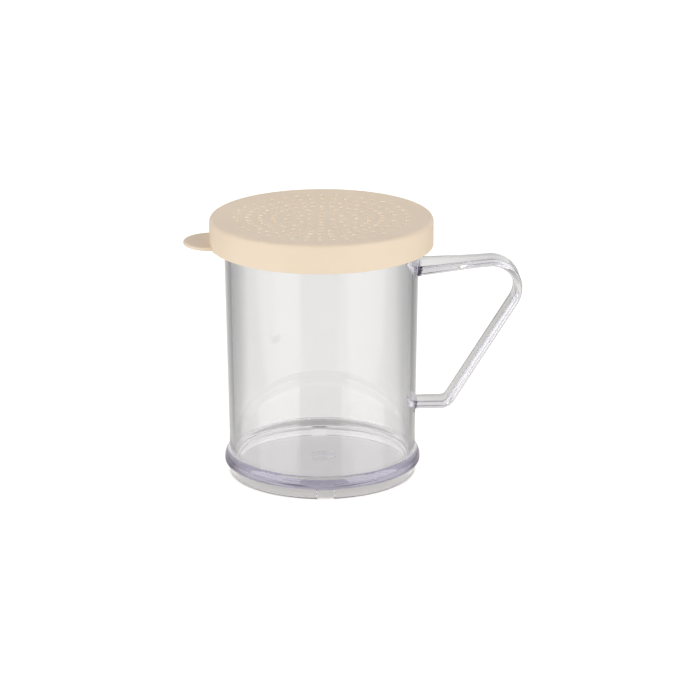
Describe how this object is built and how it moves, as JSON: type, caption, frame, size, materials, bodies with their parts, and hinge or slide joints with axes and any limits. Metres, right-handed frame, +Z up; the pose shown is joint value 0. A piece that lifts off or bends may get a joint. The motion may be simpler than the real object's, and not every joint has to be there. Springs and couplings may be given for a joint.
{
  "type": "handled spice shaker",
  "caption": "Clear tapered shaker cup with a strap side handle, a beaded foot and a press-on perforated lid with a round thumb tab.",
  "frame": {"origin": "centre of the foot ring, on the surface that the cup stands on", "axes": "+Z up along the cup's axis, +X from the axis towards the handle, +Y to the left of the handle seen from above the lid with the handle pointing right and up the page"},
  "size_m": [0.1224, 0.0808, 0.096],
  "materials": {
    "clear_polycarbonate": "clear, smooth and glossy, with a faint cool tint in thick sections",
    "beige_polyethylene": "opaque warm beige with a fine satin texture"
  },
  "bodies": {
    "cup": {"cup": "clear_polycarbonate"},
    "lid": {"lid": "beige_polyethylene"}
  },
  "joints": [
    {"name": "lid_lift", "type": "slide", "parent": "cup", "child": "lid", "axis": [0, 0, 1], "range_m": [0, 0.04]}
  ]
}
